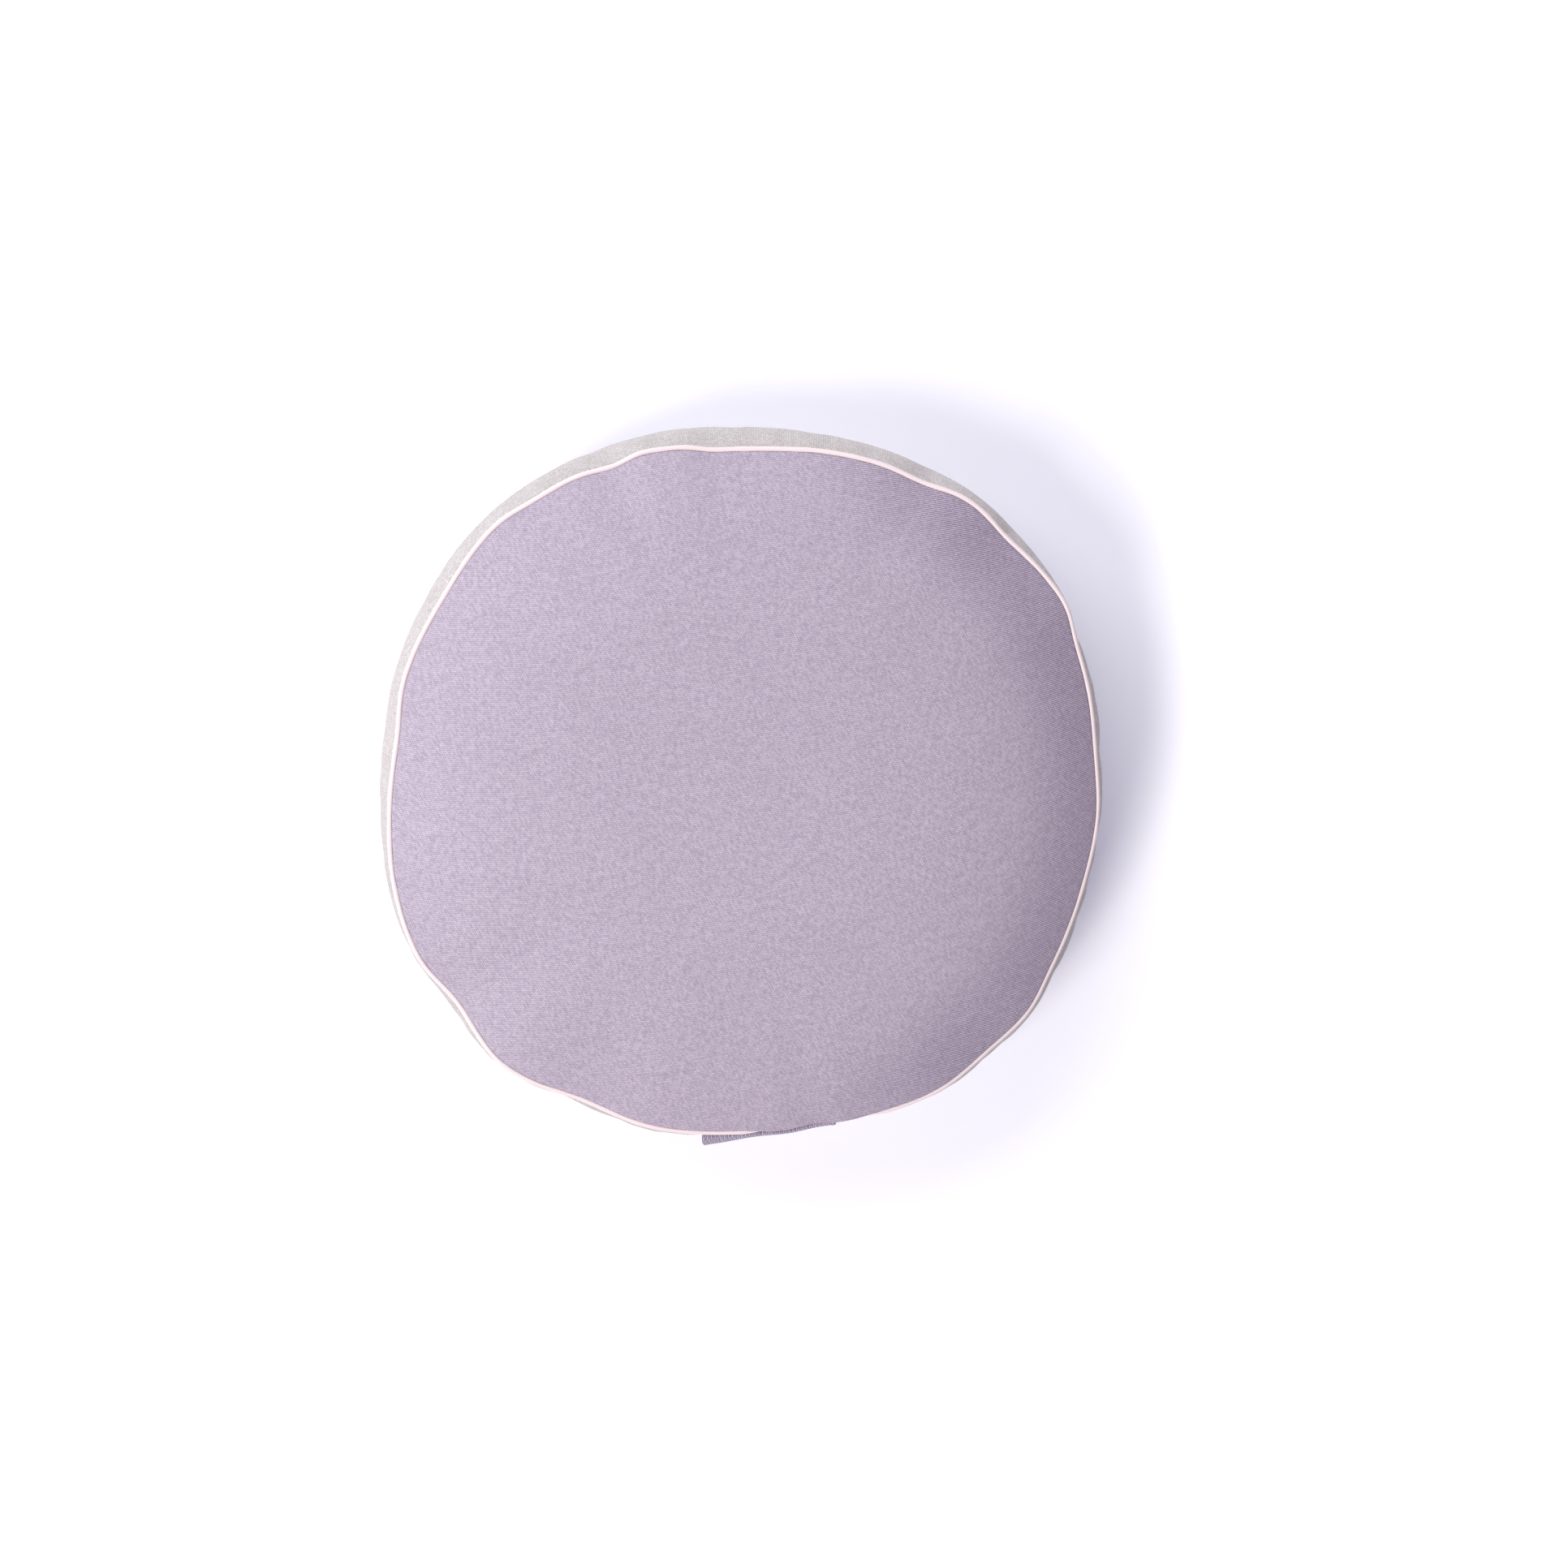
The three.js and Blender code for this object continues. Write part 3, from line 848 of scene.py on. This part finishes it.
# Two rows of lockstitch at each end of the strap, in mauve thread, that hold it to the band
STITCH_LENGTH = 2.3
STITCH_PITCH = 3
STITCH_THICK = 0.55
STITCH_SIDES = 6
STITCH_ROWS = [0.05, 0.09, 0.91, 0.95]
STITCH_EDGE = 3
STITCH_PROUD = 0.1
STITCH_DIP = 0.35
STITCH_TAPER = 0.4
STITCH_BENDS = 5
NEARBY = 0.02
strap_rows = strap_middle.reshape(STRAP_SECTIONS_FOUND, STRAP_STEPS, 3)


def on_strap(along, up):
    """A point on the strap's middle, from shares of the way along it and up it."""
    section = along * (STRAP_SECTIONS_FOUND - 1)
    lower = min(int(section), STRAP_SECTIONS_FOUND - 2)
    line = strap_rows[lower] + (strap_rows[lower + 1] - strap_rows[lower]) * (section - lower)
    steps = np.arange(STRAP_STEPS)
    return np.array([np.interp(up * (STRAP_STEPS - 1), steps, line[:, n]) for n in range(3)])


def stitch_mesh():
    """Short threads, each a bent spindle that dips into the cloth at both ends."""
    points, faces = [], []
    width = float(np.linalg.norm(strap_rows[0][-1] - strap_rows[0][0]))
    count = int((width - 2 * STITCH_EDGE) / STITCH_PITCH)
    bends = np.linspace(-1, 1, STITCH_BENDS)
    for along in STITCH_ROWS:
        for number in range(count):
            up = (STITCH_EDGE + (number + 0.5) * STITCH_PITCH) / width
            centre = on_strap(along, up)
            upward = on_strap(along, up + NEARBY) - on_strap(along, up - NEARBY)
            upward /= np.linalg.norm(upward)
            sideways = on_strap(along + NEARBY, up) - on_strap(along - NEARBY, up)
            outward = np.cross(sideways, upward)
            outward /= np.linalg.norm(outward)
            sideways = np.cross(upward, outward)
            first = len(points)
            for bend in bends:
                lift = STRAP_THICKNESS / 2 + STITCH_PROUD - STITCH_DIP * bend ** 4
                middle = centre + upward * bend * STITCH_LENGTH / 2 + outward * lift
                for side in range(STITCH_SIDES):
                    turn = 2 * math.pi * side / STITCH_SIDES
                    around = sideways * math.cos(turn) + outward * math.sin(turn)
                    points.append(middle + around * STITCH_THICK / 2 * (1 - STITCH_TAPER * bend ** 4))
            for row in range(len(bends) - 1):
                faces += [
                    (first + row * STITCH_SIDES + n, first + row * STITCH_SIDES + (n + 1) % STITCH_SIDES,
                     first + (row + 1) * STITCH_SIDES + (n + 1) % STITCH_SIDES,
                     first + (row + 1) * STITCH_SIDES + n)
                    for n in range(STITCH_SIDES)
                ]
            last = first + (len(bends) - 1) * STITCH_SIDES
            faces.append(tuple(first + n for n in reversed(range(STITCH_SIDES))))
            faces.append(tuple(last + n for n in range(STITCH_SIDES)))
    return mesh_piece("strap_stitches", np.array(points), faces)


strap_stitches = stitch_mesh()
THREAD_MAUVE = (0.36, 0.3, 0.38, 1)
THREAD_FIBRES = 3
THREAD_RELIEF = 0.03
WHITE = (1, 1, 1, 1)
new_material("mauve_thread")
fibre = noise(combine(*place_in_mm()), THREAD_FIBRES)
thread_colour = mix_colours(1, THREAD_MAUVE, grey(0.85 + 0.3 * fibre), "MULTIPLY")
matt = 0.55 + 0.1 * fibre
thread = cloth_material("mauve_thread", thread_colour, fibre, THREAD_RELIEF, matt, 0.1, WHITE)
strap_stitches.data.materials.append(thread)
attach(strap_stitches, "root")


# The studio: a white floor, two softboxes at the lower left, a large soft fill and a pale sky.
FLOOR_SIZE = 8
FLOOR_MOTTLE = 0.004
FLOOR_RELIEF = 0.01
FLOOR_ROUGHNESS = 0.9
FLOOR_GLOW = (0.64, 0.65, 1, 1)
FLOOR_GLOW_STRENGTH = 0.19
floor_mesh = bpy.data.meshes.new("floor")
half = FLOOR_SIZE / 2
floor_corners = [(-half, -half, 0), (half, -half, 0), (half, half, 0), (-half, half, 0)]
floor_mesh.from_pydata(floor_corners, [], [(0, 1, 2, 3)])
floor = bpy.data.objects.new("floor", floor_mesh)
bpy.context.scene.collection.objects.link(floor)
new_material("white_floor")
mottle = noise(combine(*place_in_mm()), FLOOR_MOTTLE)
floor_grey = grey(0.9 + 0.02 * mottle)
white = cloth_material("white_floor", floor_grey, mottle, FLOOR_RELIEF, FLOOR_ROUGHNESS, 0, WHITE)
lit_table = white.node_tree.nodes["Principled BSDF"]
lit_table.inputs["Emission Color"].default_value = FLOOR_GLOW
lit_table.inputs["Emission Strength"].default_value = FLOOR_GLOW_STRENGTH
floor_mesh.materials.append(white)


LAMP_DISTANCE = 4
WARM_WHITE = (1, 0.985, 0.97)
COOL_WHITE = (0.96, 0.985, 1)
SKY_COLOUR = (0.95, 0.87, 1, 1)
SKY_STRENGTH = 0.34


def soft_light(name, azimuth, elevation, size, watts, colour):
    """A square soft light that looks at the cushion; azimuth is counter-clockwise from +X."""
    lamp = bpy.data.lights.new(name, "AREA")
    lamp.size = size
    lamp.energy = watts
    lamp.color = colour
    turn, lift = math.radians(azimuth), math.radians(elevation)
    towards = Vector((math.cos(turn) * math.cos(lift), math.sin(turn) * math.cos(lift), math.sin(lift)))
    holder = bpy.data.objects.new(name, lamp)
    holder.location = towards * LAMP_DISTANCE
    holder.rotation_euler = towards.to_track_quat("Z", "Y").to_euler()
    bpy.context.scene.collection.objects.link(holder)


soft_light("low_key", azimuth=235, elevation=42, size=1.1, watts=60, colour=WARM_WHITE)
soft_light("high_key", azimuth=216, elevation=54, size=1.1, watts=62, colour=WARM_WHITE)
soft_light("fill", azimuth=120, elevation=30, size=4, watts=169, colour=COOL_WHITE)
world = bpy.data.worlds.new("sky")
world.use_nodes = True
sky = world.node_tree.nodes["Background"]
sky.inputs["Color"].default_value = SKY_COLOUR
sky.inputs["Strength"].default_value = SKY_STRENGTH
bpy.context.scene.world = world
bpy.context.scene.view_settings.view_transform = "Standard"

# The photo's camera: nearly overhead, a little behind the middle and leaning back towards it
CAMERA_FROM_AXIS = np.array([-53.3, 149.7, 1783.1])
CAMERA_LENS = 64.71
SENSOR_WIDTH = 36
CAMERA_TILT_RIGHT = -2.594
CAMERA_TILT_AWAY = 4.906
lean_right = math.tan(math.radians(CAMERA_TILT_RIGHT))
lean_away = math.tan(math.radians(CAMERA_TILT_AWAY))
back = Vector((lean_right, lean_away, 1)).normalized()
right_hand = Vector((0, 1, 0)).cross(back).normalized()
upward = back.cross(right_hand)
camera = bpy.data.objects.new("camera", bpy.data.cameras.new("camera"))
camera.data.lens = CAMERA_LENS
camera.data.sensor_width = SENSOR_WIDTH
turned = Matrix((right_hand, upward, back)).transposed().to_4x4()
camera.matrix_world = Matrix.Translation(Vector((CAMERA_FROM_AXIS + AXIS) * MM)) @ turned
bpy.context.scene.collection.objects.link(camera)
bpy.context.scene.camera = camera
